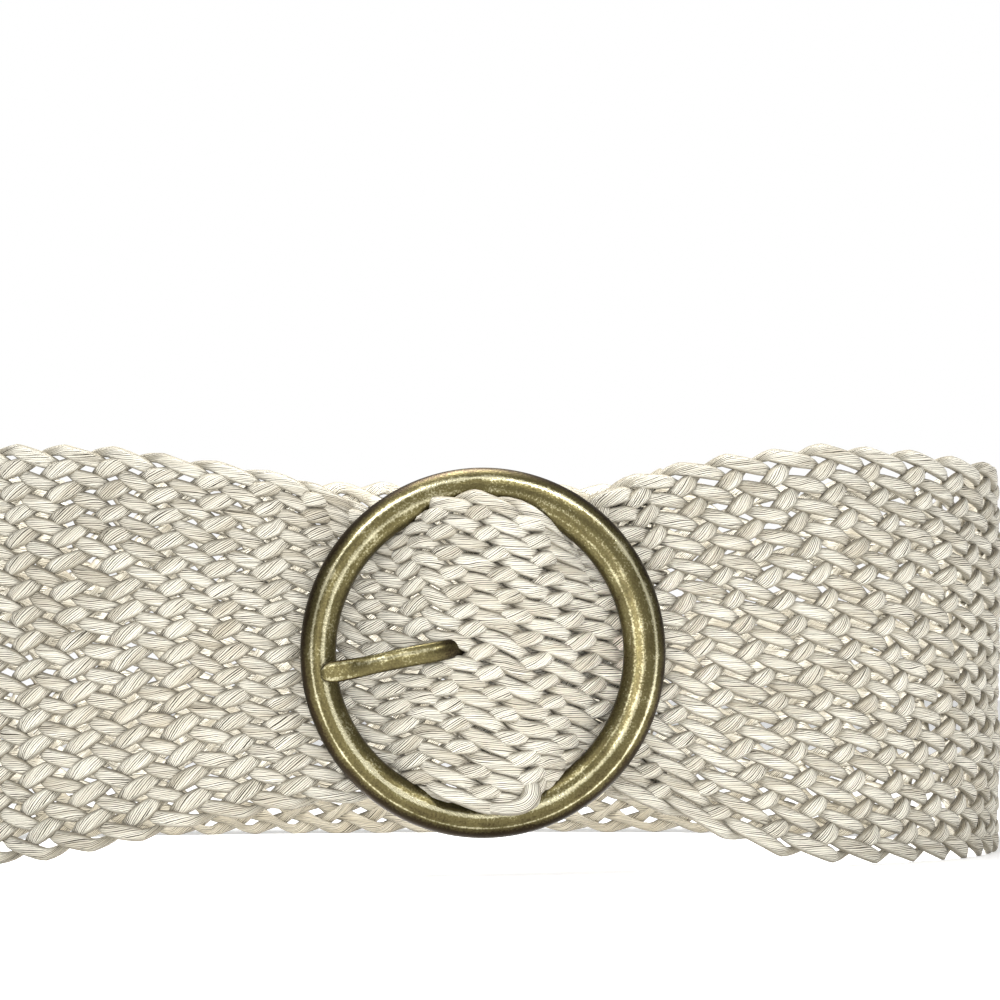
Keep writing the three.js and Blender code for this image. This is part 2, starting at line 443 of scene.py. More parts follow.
# Inside the ring the bar end's rows lie behind the free end's, so that light comes through both.
def barEndHeights(x, v):
    top, bottom = edgesAt(barEndEdges, x)
    own = mix(bottom, top, v) + riseOfRows(x, v)
    front = freeEndHeights(x, v)
    ease = inRing["ease"]
    free = inRing["limit"] - ease
    over = np.maximum(np.abs(front) - free, 0)
    squeezed = np.sign(front) * (np.minimum(np.abs(front), free) + ease * np.tanh(over / ease))
    return mix(squeezed, own, ramp(x, *inRing["leave"]))


def barEndAt(x, v):
    behind = 1 - ramp(x, strap["frontEnd"], strap["layersMeet"])
    y = ovalFront(x) + strap["layerPitch"] * behind - forward(x, v) * frontReach
    return stationOf(x, y, barEndHeights(x, v))


def flapAt(x, v):
    back = hoop["frontY"] + 2 * strap["layerPitch"] - (strap["barSetBack"] + foldRadius)
    y = ovalFront(x) + 2 * strap["layerPitch"] - forward(x, v) * back
    return stationOf(x, y, barEndHeights(x, v))


def foldAt(turn, v):
    x = math.cos(turn) * foldRadius
    y = strap["barSetBack"] + math.sin(turn) * foldRadius
    return stationOf(x, y, barEndHeights(0, v))


def ovalAt(turn, v):
    c, s = math.cos(turn), math.sin(turn)
    x = math.copysign(hoop["halfWidth"] * abs(c) ** (2 / hoop["power"]), c)
    y = hoop["frontY"] + hoop["halfDepth"] * (1 + math.copysign(abs(s) ** (2 / hoop["power"]), s))
    top, bottom, shift = strap["top"], strap["bottom"], 0
    if s < 0:
        top, bottom = edgesAt(freeEndEdges if x < 0 else barEndEdges, x)
        fade = 1 - ramp(y, *rowSlope["fade"])
        shift = (fallOfRows(x, v) if x < 0 else riseOfRows(x, v)) * fade
    return stationOf(x, y, mix(bottom, top, v) + shift)


# Where the line of sight through the middle of a station meets the plane of the ring.
def sighted(points):
    turn = math.radians(cameraSetup["turn"])
    away = cameraSetup["distance"]
    eyeX, eyeY = math.sin(turn) * away, -math.cos(turn) * away
    x, y = points[len(points) // 2, :2]
    return eyeX + (x - eyeX) * -eyeY / (y - eyeY)


# The gap between cords that the prong goes through lies on the prong.
middleOf = np.array([0.5])
toProng = sighted(freeEndAt(strap["tailEnd"], middleOf)) - sighted(freeEndAt(pitches["holeX"], middleOf))
startPhase = 0.5 - toProng / pitches["buckle"] % 1


def stripStations():
    v = np.linspace(0, 1, strap["columns"] + 1)
    stations, phases = [], []

    def run(at, values, lengthOf):
        for value in values:
            points = at(value, v)
            step = lengthOf(stations[-1], points) if stations else 0
            stations.append(points)
            phases.append(phases[-1] + step if phases else 0.0)

    def inSight(a, b):
        return abs(sighted(b) - sighted(a)) / pitches["buckle"]

    def alongPath(a, b):
        middle = len(a) // 2
        x = b[middle, 0]
        pitch = mix(pitches["left"], pitches["right"], ramp(x, *pitches["change"]))
        stretch = 1 + pitches["stretch"] * ramp(x, *pitches["stretched"])
        return float(np.linalg.norm(b[middle] - a[middle])) / (pitch * stretch)

    def steps(start, end, size):
        return np.linspace(start, end, round(abs(end - start) / size) + 1)

    def turnAt(x):
        return math.acos(abs(x / hoop["halfWidth"]) ** (hoop["power"] / 2))

    size = strap["station"]
    run(freeEndAt, steps(strap["tailEnd"], -strap["frontEnd"], size), inSight)
    first, last = turnAt(strap["frontEnd"]) - math.pi, -2 * math.pi - turnAt(strap["layersMeet"])
    run(ovalAt, steps(first, last, math.radians(strap["ovalStation"]))[1:-1], alongPath)
    run(barEndAt, steps(strap["layersMeet"], strap["frontEnd"], size), alongPath)
    hoopEnd = len(phases) - 1
    run(barEndAt, steps(strap["frontEnd"], 0, size)[1:], inSight)
    barPhase = phases[-1]
    frontPhase, flapPhase = inSight(stations[-1], stations[0]), inSight(flapAt(0, v), stations[0])
    foldSteps, flapSteps = strap["foldStations"], round(strap["flapEnd"] / size)
    stepOver = strap["foldTurns"] + (-frontPhase - flapPhase - 2 * startPhase) % 1

    def roundFold(a, b):
        return stepOver / foldSteps

    run(foldAt, np.linspace(-math.pi / 2, -math.pi * 1.5, foldSteps + 1)[1:], roundFold)
    run(flapAt, np.linspace(0, strap["flapEnd"], flapSteps + 1)[1:], inSight)

    # The hoop's pitch is eased until cords of the bar end lie behind the free end's holes.
    phases = np.array(phases)
    slip = round(barPhase - frontPhase) + 0.5 - (barPhase - frontPhase)
    start = round((strap["tailEnd"] + strap["frontEnd"]) / size)
    share = np.clip((np.arange(len(phases)) - start) / (hoopEnd - start), 0, 1)
    grid = np.array(stations)

    # The columns of crossings lean, most on the right, so the phase also runs across the strap.
    xs, ys = grid[:, len(v) // 2, 0], grid[:, len(v) // 2, 1]
    lean = mix(columnLean["left"], columnLean["right"], ramp(xs, *columnLean["change"]))
    lean = lean * (1 - ramp(ys, *columnLean["fade"]))
    way = np.clip((len(phases) - 1 - flapSteps - np.arange(len(phases))) / foldSteps, 0, 1) * 2 - 1
    across = -(lean * way)[:, None] * grid[:, :, 2] / pitches["buckle"]
    return grid, (phases + slip * share)[:, None] + across, v


def buildStrip():
    grid, phases, v = stripStations()
    count, columns = grid.shape[:2]
    along = np.gradient(grid, axis=0)
    across = np.gradient(grid, axis=1)
    facing = np.cross(across, along)
    facing /= np.linalg.norm(facing, axis=2, keepdims=True)
    faces = [(i * columns + j, (i + 1) * columns + j, (i + 1) * columns + j + 1, i * columns + j + 1)
             for i in range(count - 1) for j in range(columns - 1)]
    mesh = makeMesh("strip", grid.reshape(-1, 3), faces)
    addField(mesh, "facing", "FLOAT_VECTOR", facing.reshape(-1))
    perRow = np.linalg.norm(across, axis=2) * strap["columns"] / rows * mm
    addField(mesh, "spread", "FLOAT", perRow.reshape(-1))
    layer = mesh.uv_layers.new(name="weave")
    spots = np.stack([phases.reshape(-1), np.tile(v, count)], axis=1)
    corners = np.empty(len(mesh.loops), dtype=np.int32)
    mesh.loops.foreach_get("vertex_index", corners)
    layer.data.foreach_set("uv", spots[corners].reshape(-1))
    return mesh, float(phases[:, columns // 2][-1])


strip, pitchCount = buildStrip()
print("strip laid,", round(pitchCount, 2), "pitches long")


# Node trees with a named input for each value of a dictionary

def newSocket(tree, name, way, kind):
    return tree.interface.new_socket(name=name, in_out=way, socket_type="NodeSocket" + kind)


def startTree(name, values):
    kinds = {int: "Int", float: "Float", tuple: "Vector", bpy.types.Material: "Material"}
    tree = bpy.data.node_groups.new(name, "GeometryNodeTree")
    newSocket(tree, "Geometry", "OUTPUT", "Geometry")
    newSocket(tree, "Geometry", "INPUT", "Geometry")
    names = {}
    for key, value in values.items():
        names[key] = newSocket(tree, key, "INPUT", kinds[type(value)]).identifier
    bench = Bench(tree)
    outputs = bench.add("NodeGroupInput").outputs
    given = {key: outputs[key] for key in values}
    return tree, names, bench, SimpleNamespace(strip=outputs["Geometry"], **given)


# The plain mesh that a tree makes of an object with the given inputs.
def grown(source, tree, names, values):
    modifier = source.modifiers.new("grown", "NODES")
    modifier.node_group = tree
    for name, value in values.items():
        modifier[names[name]] = value
    depsgraph = bpy.context.evaluated_depsgraph_get()
    mesh = bpy.data.meshes.new_from_object(source.evaluated_get(depsgraph), preserve_all_data_layers=True,
                                           depsgraph=depsgraph)
    source.modifiers.remove(modifier)
    return mesh


# The braid

braid = {
    "pieces": 4,
    "stepsPerPitch": 9,
    "holeAtY": -4.5,  # millimetres from the ring's middle
    "inputs": {
        "rows": float(rows),
        "spare": 1.5,  # pitches by which the cords are laid past both ends before they are cut
        "sides": 12,
        "cordWidth": 2.74 * mm,
        "cordThickness": 1.7 * mm,
        "usualRow": 2.65 * mm,  # height of the rows in which the cords have that width
        "gatherPower": 0.35,  # how much narrower they are in lower rows
        "fallingWidth": 1.15,  # of the cords that come down along the strap
        "snugness": 1.3,  # how much fuller the cords are inside the ring
        "weaveHeight": 0.98 * mm,
        "wavePower": 0.68,
        "gatheredBias": -0.02, "openBias": 0.04,
        "boxiness": 0.7, "edgeRound": 0.45,
        "leanUp": -0.06,
        "leanDown": -0.065,
        "leanDownLast": 0.01,  # on the bar end
        "swell": 0.32,
        "ringSwell": 0.14,  # inside the ring
        "wander": 0.26 * mm,
        "pull": 3 * mm,
        "pullScale": 45.0,  # for each metre
        "holeRadius": 1.7 * mm,  # round the prong
        "seed": 7.0,
    },

    # From where to where the braid changes, in metres where nothing else is said.
    "changes": {
        "leanDown": (-0.2, 0.2),  # shares of the length, from the middle
        "gathered": (0.0024, 0.0029),  # height of a row
        "fallingWidth": (0, 1.5),  # rows from the edge
        "ringMiddle": 0.015,
        "ring": (0.034, 0.017),  # distance from that middle
        "slip": (0.9, 3.7),  # for each pitch and each cord
        "pullRows": (0, 6),  # rows from the edge
        "pullShare": (0.4, 2),
        "pullWays": (1, 0, 0.7),
        "holeDepth": (0.008, 0.012),
        "holeReach": (0.003, 0.011),
        "fullness": (0.3, 0.85),  # how much it varies and where it starts
        "fullnessScale": 1.7, "fullnessSeed": 5.1,
    },
}


def braidTree(values):
    tree, names, bench, given = startTree("flatBraid", values)
    plus, minus, times = bench.plus, bench.minus, bench.times
    changes = braid["changes"]

    line = bench.add("GeometryNodeCurvePrimitiveLine", {"Start": (0, 0, 0), "End": (1, 0, 0)})
    dots = bench.made("ResampleCurve", line.outputs[0], {"Count": given.points})
    feeds = {"Geometry": dots, "Amount": given.cordCount}
    copies = bench.add("GeometryNodeDuplicateElements", feeds, domain="SPLINE")
    cord = plus(copies.outputs["Duplicate Index"], given.firstCord)
    factor = bench.add("GeometryNodeSplineParameter").outputs["Factor"]
    length = bench.scaled(given.spare, 2, given.pitches)
    u = minus(times(factor, length), given.spare)

    # Where the cord is across the strap: it goes up, turns at the edge and comes down again.
    turn = times(plus(u, given.phase, cord), 2)
    lap = bench.sum("FLOORED_MODULO", turn, times(given.rows, 2))
    row = minus(given.rows, bench.absolute(minus(lap, given.rows)))
    up = bench.sum("LESS_THAN", lap, given.rows)
    side = bench.scaled(up, 2, -1)
    fromTop = minus(given.rows, row)
    edge = bench.sum("MINIMUM", row, fromTop)
    eased = bench.sum("SQRT", plus(times(edge, edge), times(given.edgeRound, given.edgeRound)))
    share = bench.sum("DIVIDE", eased, given.rows)
    lower = bench.sum("LESS_THAN", row, fromTop)
    v = plus(share, times(minus(1, lower), minus(1, times(share, 2))))

    # Over and under: a row higher or lower at each crossing, and straight over the edge.
    halfTurn = times(edge, math.pi)
    inner = times(bench.sum("COSINE", halfTurn), -1)
    outer = bench.sum("SINE", times(halfTurn, 0.5))
    nearEdge = bench.sum("LESS_THAN", edge, 1)
    wave = bench.signedPower(plus(inner, times(nearEdge, minus(outer, inner))), given.wavePower)

    # Floats that go up along the strap lie flatter than those that come down.
    fromMiddle = minus(bench.sum("DIVIDE", u, given.pitches), 0.5)
    leanDown = bench.ranged(fromMiddle, *changes["leanDown"], given.leanDown, given.leanDownLast)
    lean = plus(leanDown, times(up, minus(given.leanUp, leanDown)))
    sway = times(lean, bench.sum("SINE", times(row, math.pi)))
    spot = bench.join(plus(u, sway), v, 0)

    def named(name, kind="FLOAT_VECTOR"):
        return bench.add("GeometryNodeInputNamedAttribute", {"Name": name}, data_type=kind).outputs[0]

    weave = named("weave")
    place = bench.add("GeometryNodeInputPosition").outputs[0]

    def onStrip(field, kind="FLOAT_VECTOR"):
        feeds = {"Mesh": given.strip, "Value": field, "Source UV Map": weave, "Sample UV": spot}
        return bench.add("GeometryNodeSampleUVSurface", feeds, data_type=kind).outputs

    # Where the rows are gathered the rising cords cover more of the falling ones.
    rowHeight = onStrip(named("spread", "FLOAT"), "FLOAT")["Value"]
    bias = bench.ranged(rowHeight, *changes["gathered"], given.gatheredBias, given.openBias)
    lift = times(plus(wave, times(minus(1, bench.absolute(wave)), bias)), side)
    outward = bench.vector("NORMALIZE", onStrip(named("facing"))["Value"])
    home = onStrip(place)

    # Cords are narrower where the rows are gathered, wider where they come down and fuller in the ring.
    gathered = bench.sum("POWER", bench.sum("DIVIDE", rowHeight, given.usualRow), given.gatherPower)
    falling = times(minus(1, up), bench.ranged(edge, *changes["fallingWidth"]))
    wider = bench.scaled(minus(given.fallingWidth, 1), falling, 1)
    fromRingMiddle = bench.absolute(minus(bench.split(home["Value"])[0], changes["ringMiddle"]))
    ringShare = bench.ranged(fromRingMiddle, *changes["ring"])
    snug = bench.ranged(ringShare, 0, 1, wider, given.snugness)
    swelling = bench.ranged(ringShare, 0, 1, given.swell, given.ringSwell)
    breadth = times(gathered, snug, bench.scaled(lift, swelling, 1))

    def strayed(at, scale, reach):
        away = bench.vector("SUBTRACT", bench.noise(at, scale, 1, "Color"), (0.5, 0.5, 0.5))
        return bench.vector("SCALE", away, reach)

    # Small slips of the real cords, different on each cord and slow along it.
    alongSlip, cordSlip = changes["slip"]
    slipSpot = bench.join(times(u, alongSlip), times(cord, cordSlip), given.seed)
    slip = strayed(slipSpot, 1, times(given.wander, 2))
    raised = bench.vector("SCALE", outward, times(lift, given.weaveHeight))
    straight = bench.vector("ADD", bench.vector("ADD", home["Value"], raised), slip)

    # The whole braid is pulled a little out of line, the same in the layers behind each other.
    flat = bench.vector("MULTIPLY", straight, (1, 0, 1))
    loose = bench.ranged(edge, *changes["pullRows"], *changes["pullShare"])
    pulled = strayed(flat, given.pullScale, times(given.pull, loose))
    laid = bench.vector("ADD", straight, bench.vector("MULTIPLY", pulled, changes["pullWays"]))

    # The prong's hole pushes the cords apart, in all the layers on the bar.
    fromHole = bench.vector("SUBTRACT", laid, given.hole)
    away = bench.vector("MULTIPLY", fromHole, (1, 0, 1))
    reach = bench.vector("LENGTH", away)
    pushed = bench.sum("SQRT", plus(times(reach, reach), times(given.holeRadius, given.holeRadius)))
    push = bench.sum("DIVIDE", minus(pushed, reach), bench.sum("MAXIMUM", reach, 1e-5))
    near = bench.ranged(bench.absolute(bench.split(fromHole)[1]), *changes["holeDepth"], 1, 0)
    fade = bench.ranged(reach, *changes["holeReach"], 1, 0)
    final = bench.vector("ADD", laid, bench.vector("SCALE", away, times(push, times(near, fade))))

    # The cords end where the strip ends.
    hold = bench.kept(copies.outputs[0], final=final, outward=outward, lift=lift, cord=cord, u=u,
                      off=minus(1, home["Is Valid"]), breadth=breadth)
    beyond = bench.sum("GREATER_THAN", hold["off"], 0.5)
    cut = bench.made("DeleteGeometry", hold[0], {"Selection": beyond}, domain="POINT")
    moved = bench.made("SetPosition", cut, {"Position": hold["final"]})
    turned = bench.made("SetCurveNormal", moved, {"Normal": hold["outward"]}, mode="FREE")
    run = bench.kept(turned, run=bench.add("GeometryNodeSplineParameter").outputs["Length"])

    circle = bench.add("GeometryNodeCurvePrimitiveCircle", {"Resolution": given.sides, "Radius": 1.0})
    around = bench.kept(circle.outputs[0], around=place)
    size = bench.join(times(given.cordThickness, 0.5), times(given.cordWidth, 0.5), 1)
    boxy = bench.join(*[bench.signedPower(part, given.boxiness) for part in bench.split(place)])
    profile = bench.made("SetPosition", around[0], {"Position": bench.vector("MULTIPLY", boxy, size)})
    fullSpot = bench.join(hold["u"], hold["cord"], changes["fullnessSeed"])
    fullness = bench.noise(fullSpot, changes["fullnessScale"], 0)
    fat = times(hold["breadth"], bench.scaled(fullness, *changes["fullness"]))
    body = bench.made("CurveToMesh", run[0], {"Profile Curve": profile, "Scale": fat, "Fill Caps": True})
    way = bench.split(around["around"])
    fibred = bench.stored(body, "fibre", bench.join(way[0], way[1], run["run"]))
    laidOut = bench.stored(fibred, "lay", bench.join(hold["cord"], hold["u"], hold["lift"]))
    real = bench.made("RealizeInstances", bench.made("SetShadeSmooth", laidOut))
    painted = bench.made("SetMaterial", real, {"Material": given.material})
    bench.add("NodeGroupOutput", {"Geometry": painted})
    return tree, names


# The threads of a twisted cord, from its own coordinates

threadLook = {
    "coarse": (0.45, 0.7), "tones": (0.2, 0.3),  # width and length beside the finest grain
    "fineShare": 0.45, "coarseShare": 0.35, "lineShare": 0.2,  # of the height
    "seedStep": 11.3, "waver": 9,
    "deepGap": (0.43, 0.36), "crack": (0.52, 0.12),  # heights from where to where they grow
    "fineness": (0.62, 0.42), "crackDepth": (0.4, 1),
}


def threadsGroup(look):
    tree = bpy.data.node_groups.new("twistedThreads", "ShaderNodeTree")
    for name in ("Fibre", "Seed", "Twist", "Threads", "Lines", "Stretch"):
        newSocket(tree, name, "INPUT", "Vector" if name == "Fibre" else "Float")
    for name in ("Height", "GrooveShade", "Tone"):
        newSocket(tree, name, "OUTPUT", "Float")
    bench = Bench(tree)
    plus, minus, times = bench.plus, bench.minus, bench.times
    given = bench.add("NodeGroupInput").outputs
    cosine, sine, run = bench.split(given["Fibre"])
    turn = times(run, given["Twist"], 2 * math.pi)
    c, s = bench.sum("COSINE", turn), bench.sum("SINE", turn)
    x = minus(times(cosine, c), times(sine, s))
    y = plus(times(sine, c), times(cosine, s))
    radius = bench.sum("DIVIDE", given["Threads"], 2 * math.pi)
    start = times(given["Seed"], look["seedStep"])

    def strands(width, length):
        along = plus(times(run, given["Stretch"], length), start)
        return bench.noise(bench.join(times(x, radius, width), times(y, radius, width), along), 1, 1)

    fine, coarse, tone = strands(1, 1), strands(*look["coarse"]), strands(*look["tones"])
    around = times(bench.sum("ARCTAN2", y, x), given["Lines"])
    lines = bench.scaled(bench.sum("SINE", bench.scaled(coarse, look["waver"], around)), 0.5, 0.5)
    large = plus(times(coarse, look["coarseShare"]), times(lines, look["lineShare"]))
    height = plus(times(fine, look["fineShare"]), large)

    # Deep gaps between bundles of threads, and fine cracks between single ones: the cord's colour is
    # darkened there as painted shade.
    deep = bench.ranged(height, *look["deepGap"], kind="SMOOTHSTEP")
    crack = bench.ranged(lines, *look["crack"], kind="SMOOTHSTEP")
    depth = bench.ranged(fine, *look["fineness"], *look["crackDepth"])
    grooveShade = bench.sum("MAXIMUM", deep, times(crack, depth))
    bench.add("NodeGroupOutput", {"Height": height, "GrooveShade": grooveShade, "Tone": tone})
    return tree


threads = threadsGroup(threadLook)

cordLook = {
    "pale": (0.75, 0.715, 0.61, 1),
    "shade": (0.53, 0.485, 0.385, 1),
    # painted shade, mixed in where the gaps and cracks between threads lie
    "grooveShade": (0.045, 0.036, 0.022, 1),
    "stain": (0.52, 0.42, 0.27, 1),
    # painted shade, put on the cords' sides, where they dive under others and low inside the hoop's back
    "paintedShade": (0.24, 0.205, 0.135, 1),
    "stains": 0.35, "stainScale": 38, "stainDetail": 3, "stainFrom": (0.58, 0.8),
    "flankShade": 0.86, "flank": (0.5, 1),  # from the middle of the cord's face to its side
    "diveShade": 0.45, "dive": (0.3, -0.7),  # from the top of its waves down
    "ownTone": 0.7, "toneFrom": (0.6, 0.95),
    "toneSteps": (3.7, 0.8),  # for each cord, and for each pitch along it
    "twist": 25.0,  # turns for each metre
    "threads": 28, "lines": 28, "stretch": 90,
    "roughness": 0.82, "sheen": 0.12, "sheenRoughness": 0.4,
    "bump": 0.00088, "bumpStrength": 0.6,
}

# The inside of the hoop's back is darkened along its lower edge as painted shade of the strap in front of
# it: heights and depths in metres.
lowShade = {"height": (0.022, 0.009), "depth": (0.02, 0.06), "facing": (0.3, -0.3), "most": 0.7}


# Painted shade low on the inward faces at the back of the hoop.
def lowShadeMask(bench, where):
    place = bench.split(where)
    low = bench.ranged(place[2], *lowShade["height"], 0, lowShade["most"])
    back = bench.ranged(place[1], *lowShade["depth"])
    normal = bench.split(bench.add("ShaderNodeNewGeometry").outputs["Normal"])
    inward = bench.ranged(normal[1], *lowShade["facing"])
    return bench.times(low, bench.times(back, inward))


def cordMaterial(look):
    material, bench, shader = startMaterial("braided_cord")
    fibre = bench.add("ShaderNodeAttribute", attribute_name="fibre").outputs["Vector"]
    cord, along, lift = bench.split(bench.add("ShaderNodeAttribute", attribute_name="lay").outputs["Vector"])
    feeds = {"Fibre": fibre, "Seed": cord}
    feeds.update({key.title(): look[key] for key in ("twist", "threads", "lines", "stretch")})
    yarn = bench.add("ShaderNodeGroup", feeds, node_tree=threads).outputs

    # Each cord has its own tone, which also changes slowly along it.
    cordStep, alongStep = look["toneSteps"]
    own = bench.noise(bench.join(bench.times(cord, cordStep), bench.times(along, alongStep), 0), 1, 1)
    tone = bench.ranged(bench.scaled(own, look["ownTone"], yarn["Tone"]), *look["toneFrom"])
    base = bench.mixed(tone, look["shade"], look["pale"])
    where = bench.add("ShaderNodeTexCoord").outputs["Object"]
    patches = bench.noise(where, look["stainScale"], look["stainDetail"])
    stains = bench.ranged(patches, *look["stainFrom"], 0, look["stains"])
    stained = bench.mixed(stains, base, look["stain"])

    # Painted shade darkens the cords' sides, the places where they dive under others, and the lower inside
    # of the hoop's back.
    fromMiddle = bench.absolute(bench.split(fibre)[1])
    flank = bench.ranged(fromMiddle, *look["flank"], 0, look["flankShade"], kind="SMOOTHSTEP")
    dive = bench.ranged(lift, *look["dive"], 0, look["diveShade"], kind="SMOOTHSTEP")
    paintedShade = bench.sum("MAXIMUM", bench.sum("MAXIMUM", flank, dive), lowShadeMask(bench, where))
    shadedColour = bench.mixed(paintedShade, stained, look["paintedShade"])
    bump = bench.bump(yarn["Height"], look["bump"], look["bumpStrength"])
    # The darkest colour is painted shade in the gaps and cracks between threads.
    bench.feedAll(shader, {"Base Color": bench.mixed(yarn["GrooveShade"], shadedColour, look["grooveShade"]), "Normal": bump,
                           "Roughness": look["roughness"], "Sheen Weight": look["sheen"],
                           "Sheen Roughness": look["sheenRoughness"]})
    return material


def buildBraid(material):
    inputs = braid["inputs"]
    hole = [pitches["holeX"], braid["holeAtY"], freeEndAt(pitches["holeX"], middleOf)[0, 2]]
    perPiece = rows // braid["pieces"]
    values = {
        "firstCord": 0, "cordCount": perPiece, "pitches": pitchCount, "phase": float(startPhase),
        "points": round((pitchCount + 2 * inputs["spare"]) * braid["stepsPerPitch"]) + 1,
        "hole": tuple(fromRing(hole).tolist()), "material": material, **inputs,
    }
    tree, names = braidTree(values)
    source = makeObject("strip", strip)
    for part in range(braid["pieces"]):
        mesh = grown(source, tree, names, {**values, "firstCord": part * perPiece})
        piece = makeObject(f"braid_cords_{part + 1}", mesh)
        mesh.name = piece.name
        finishPiece(piece, "woven_band")
        print(piece.name, len(mesh.polygons), "faces")
    bpy.data.objects.remove(source)


cordPaint = cordMaterial(cordLook)
buildBraid(cordPaint)


# The last cord of the free end, which turns up from its lower edge and ends under a row of the braid

winding = {
    "sides": 20, "stepsPerSpan": 7, "thickness": 1.9,
    "lines": 0.25,  # how fast its threads turn beside those of the braid
    "across": 0.1,  # where it starts across the strap
    "lay": [51.0, 0.0, 0.6],  # its number, place along and height, as the braid's cords have them
}

# Along the cord: x, distance in front of the strap's middle, height and width.
windingPlaces = [(-2, -1, -36.6, 2.4), (1.5, 0.9, -37, 3), (5, 1.7, -37, 3.7), (8.2, 2.1, -36.1, 4.3),
                 (10, 2, -34.2, 4.5), (10.4, 1.4, -32.2, 4.3), (10.3, -0.4, -30.4, 3.2)]


def buildWinding():
    table = []
    for x, front, z, width in windingPlaces:
        surface = float(freeEndAt(x, np.array([winding["across"]]))[0, 1])
        table.append((x, surface - front, z, width))
    stations = splined(np.array(table), winding["stepsPerSpan"])
    middle, along, lengths = pathOf(stations)
    run = np.cumsum(lengths) * mm
    points, fibres, lays = [], [], []
    for place, way, width, length in zip(middle, along, stations[:, 3], run):
        sideways = np.cross((0, -1, 0), way)
        sideways /= np.linalg.norm(sideways)
        outward = np.cross(way, sideways)
        for angle in turnsOf(winding["sides"]):
            c, s = math.cos(angle), math.sin(angle)
            points.append(place + outward * c * winding["thickness"] / 2 + sideways * s * width / 2)
            fibres += [c, s, length * winding["lines"]]
            lays += winding["lay"]
    mesh = makeMesh("end_winding", points, tubeFaces(len(middle), winding["sides"]))
    addField(mesh, "fibre", "FLOAT_VECTOR", fibres)
    addField(mesh, "lay", "FLOAT_VECTOR", lays)
    finishMesh("end_winding", mesh, cordPaint, "woven_band")


buildWinding()


# Stitches that hold the end of the flap to the layer in front of it

stitches = {
    "at": 45.0, "count": 15,
    "from": 0.05, "reach": 0.9,  # shares of the strap's width
    "behind": 2.1,  # from the flap's middle surface
    "lay": (60, 0, 0.6),
    "segments": 10, "rings": 8,
    "inputs": {"length": 4.2 * mm, "width": 0.9 * mm, "tilt": 0.3, "seed": 3},
}


def stitchTree(values):
    tree, names, bench, given = startTree("stitchRow", values)
    feeds = {"Segments": stitches["segments"], "Rings": stitches["rings"], "Radius": 1.0}
    ball = bench.add("GeometryNodeMeshUVSphere", feeds).outputs["Mesh"]
    place = bench.add("GeometryNodeInputPosition").outputs[0]
    half = bench.times(given.width, 0.5)
    size = bench.join(half, half, bench.times(given.length, 0.5))
    stitch = bench.made("SetPosition", ball, {"Position": bench.vector("MULTIPLY", place, size)})
    limits = {"Min": bench.times(given.tilt, -1), "Max": given.tilt, "Seed": given.seed}
    lean = bench.add("FunctionNodeRandomValue", limits, data_type="FLOAT").outputs["Value"]
    feeds = {"Instance": bench.made("SetShadeSmooth", stitch), "Rotation": bench.join(0, lean, 0)}
    real = bench.made("RealizeInstances", bench.made("InstanceOnPoints", given.strip, feeds))
    fibred = bench.stored(real, "fibre", bench.join(1, 0, bench.split(place)[2]))
    laid = bench.stored(fibred, "lay", stitches["lay"])
    painted = bench.made("SetMaterial", laid, {"Material": given.material})
    bench.add("NodeGroupOutput", {"Geometry": painted})
    return tree, names


def buildStitches():
    count = stitches["count"]
    shares = (np.arange(count) + 0.5) / count * stitches["reach"] + stitches["from"]
    places = flapAt(stitches["at"], shares) + np.array((0, stitches["behind"], 0))
    source = makeObject("stitch_places", makeMesh("stitch_places", places, []))
    values = {**stitches["inputs"], "material": cordPaint}
    mesh = grown(source, *stitchTree(values), values)
    bpy.data.objects.remove(source)
    finishPiece(makeObject("flap_stitches", mesh), "woven_band")


buildStitches()
print("end cord and stitches made")


# Brass

brassLook = {
    "bright": (0.90, 0.84, 0.56, 1), "olive": (0.115, 0.098, 0.042, 1), "brown": (0.03, 0.021, 0.011, 1),
    "brownAt": 0.1, "oliveAt": 0.5, "brightAt": 0.95,
    "cloud": (160, 4), "speck": (2000, 3),  # scale and detail
    "cloudShare": (0.5, -0.25), "speckShare": (0.6, -0.3),  # how much they change the wear, and from where
    "roughnessDark": 0.45, "roughnessBright": 0.22,
    "bump": 0.00012, "bumpStrength": 0.5, "cloudBump": 0.6,
}


def brassMaterial(look):
    material, bench, shader = startMaterial("antique_brass")
    where = bench.add("ShaderNodeTexCoord").outputs["Object"]
    cloud, speck = bench.noise(where, *look["cloud"]), bench.noise(where, *look["speck"])
    # This attribute carries real wear together with painted highlights and painted shade; with the noise it
    # picks brown, olive or bright brass.
    wearAndLight = bench.add("ShaderNodeAttribute", attribute_name="wearAndLight").outputs["Fac"]
    grain = bench.plus(bench.scaled(cloud, *look["cloudShare"]), bench.scaled(speck, *look["speckShare"]))
    mask = bench.plus(wearAndLight, grain)
    colours = bench.add("ShaderNodeValToRGB", {"Fac": mask})
    stops = colours.color_ramp.elements
    stops[0].position, stops[1].position = look["brownAt"], look["brightAt"]
    stops[0].color, stops[1].color = look["brown"], look["bright"]
    stops.new(look["oliveAt"]).color = look["olive"]
    rough = bench.ranged(mask, 0, 1, look["roughnessDark"], look["roughnessBright"])
    height = bench.plus(speck, bench.times(cloud, look["cloudBump"]))
    bench.feedAll(shader, {"Base Color": colours.outputs[0], "Metallic": 1, "Roughness": rough,
                           "Normal": bench.bump(height, look["bump"], look["bumpStrength"])})
    return material


brass = brassMaterial(brassLook)


def brassPiece(name, points, faces, wearAndLight, node):
    mesh = makeMesh(name, points, faces)
    addField(mesh, "wearAndLight", "FLOAT", wearAndLight)
    finishMesh(name, mesh, brass, node)


# The ring with its bar

ring = {"outerRadius": 44.5, "holeRadius": 35, "holeShift": -0.9, "steps": 288, "sides": 64,
        "barReach": 37.5, "barSides": 24, "barWear": 0.4}

